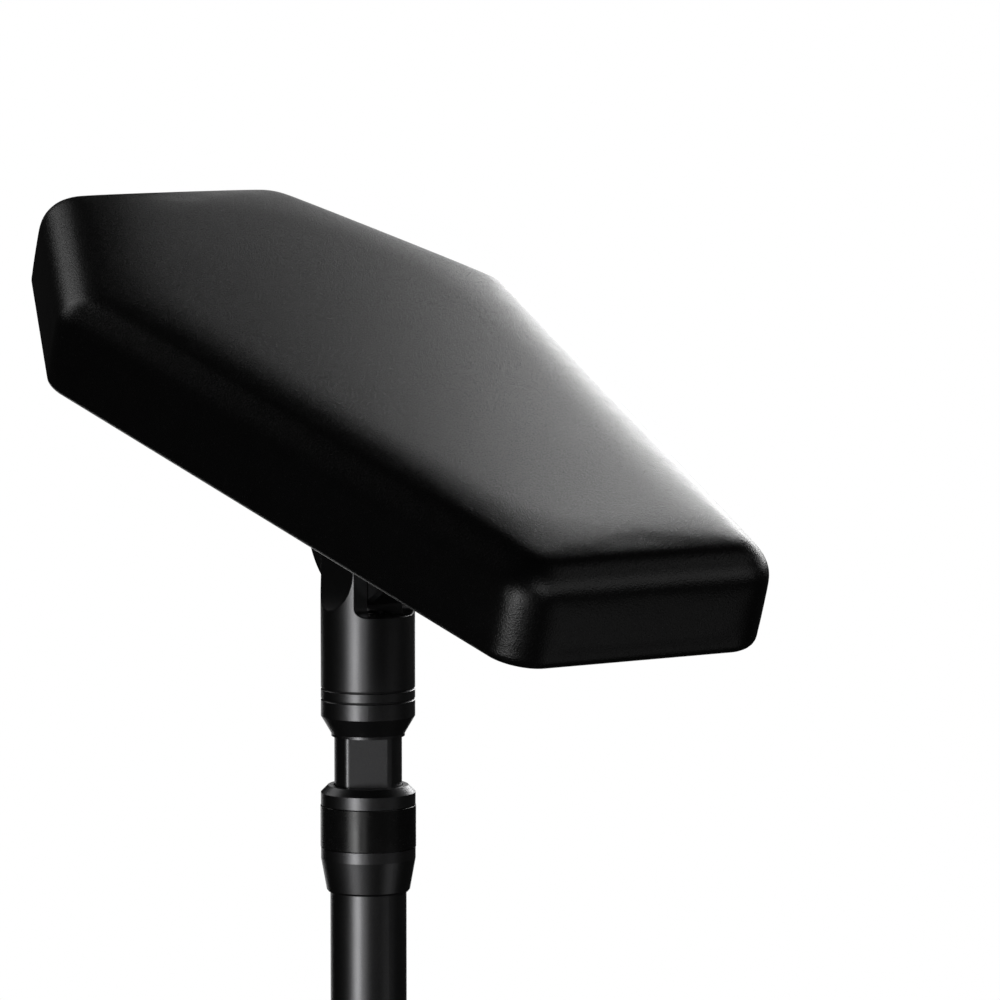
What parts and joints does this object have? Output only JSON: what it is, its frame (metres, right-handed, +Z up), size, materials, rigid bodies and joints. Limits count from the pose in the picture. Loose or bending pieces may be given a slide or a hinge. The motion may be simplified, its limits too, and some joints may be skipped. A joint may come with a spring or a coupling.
{
  "type": "tattoo arm rest stand",
  "caption": "Free-standing arm rest: tilting coffin-shaped padded top on a swivelling clevis head, sliding keyed post with a twist lock collar, and a heavy round base.",
  "frame": {"origin": "centre of the underside of the base, on the column's axis", "axes": "+Z up along the column; the pad's long axis lies in the XZ plane with its foot end at +X, and the tilt axis is along Y, with the tilt knob at +Y"},
  "size_m": [0.4129, 0.4, 0.7637],
  "materials": {
    "satin_black": "black anodised, fine satin with a light speckle",
    "powder_black": "fine-textured black powder coat",
    "black_steel": "black oxide",
    "zinc_steel": "bright zinc plate",
    "plain_aluminium": "machined, clear",
    "band_black": "smooth black with a soft shine",
    "nylon_black": "moulded nylon",
    "knob_black": "fine spark-eroded grain",
    "rubber_black": "matt",
    "brass": "turned",
    "bronze": "sintered",
    "plywood": "birch plywood",
    "liner_black": "non-woven cloth",
    "foam_grey": "open-cell foam",
    "leatherette_black": "fine-grained leatherette, soft sheen"
  },
  "bodies": {
    "stand": {"rubber_underpad": "rubber_black", "base_plate": "powder_black", "base_hub": "satin_black", "hub_screws": "black_steel", "hub_set_screws": "black_steel", "column_tube": "satin_black", "tube_ferrule": "plain_aluminium", "locking_collet": "nylon_black"},
    "lock_ring": {"lock_collar": "satin_black", "collar_grip_band": "band_black"},
    "post": {"sliding_post": "satin_black", "post_guide": "nylon_black", "post_guide_screw": "zinc_steel", "post_plug": "zinc_steel", "socket_cup": "satin_black", "swivel_ring": "satin_black", "thrust_washers": "nylon_black", "swivel_bolt": "black_steel", "swivel_spring_washer": "zinc_steel"},
    "head": {"clevis_head": "satin_black", "tilt_bolt": "black_steel", "bolt_washers": "zinc_steel"},
    "knob": {"tilt_knob": "knob_black", "knob_insert": "brass", "knob_cap": "knob_black"},
    "pad": {"disc_lug": "satin_black", "lug_bushes": "bronze", "mounting_plate": "powder_black", "lug_screws": "black_steel", "plate_washers": "black_steel", "plate_screws": "black_steel", "tee_nuts": "zinc_steel", "pad_board": "plywood", "underside_liner": "liner_black", "pad_foam": "foam_grey", "pad_cover": "leatherette_black"}
  },
  "joints": [
    {"name": "collar_twist", "type": "hinge", "parent": "stand", "child": "lock_ring", "pos_m": [0, 0, 0.5], "axis": [0, 0, 1], "range_deg": [0, 180]},
    {"name": "post_height", "type": "slide", "parent": "stand", "child": "post", "axis": [0, 0, 1], "range_m": [-0.02, 0.26]},
    {"name": "head_swivel", "type": "hinge", "parent": "post", "child": "head", "pos_m": [0, 0, 0.5617], "axis": [0, 0, 1], "continuous": true},
    {"name": "knob_turn", "type": "hinge", "parent": "head", "child": "knob", "pos_m": [0, 0.017, 0.6345], "axis": [0, 1, 0], "range_deg": [0, 360]},
    {"name": "pad_tilt", "type": "hinge", "parent": "head", "child": "pad", "pos_m": [0, 0, 0.6345], "axis": [0, 1, 0], "range_deg": [-108.85, 71.15]}
  ]
}
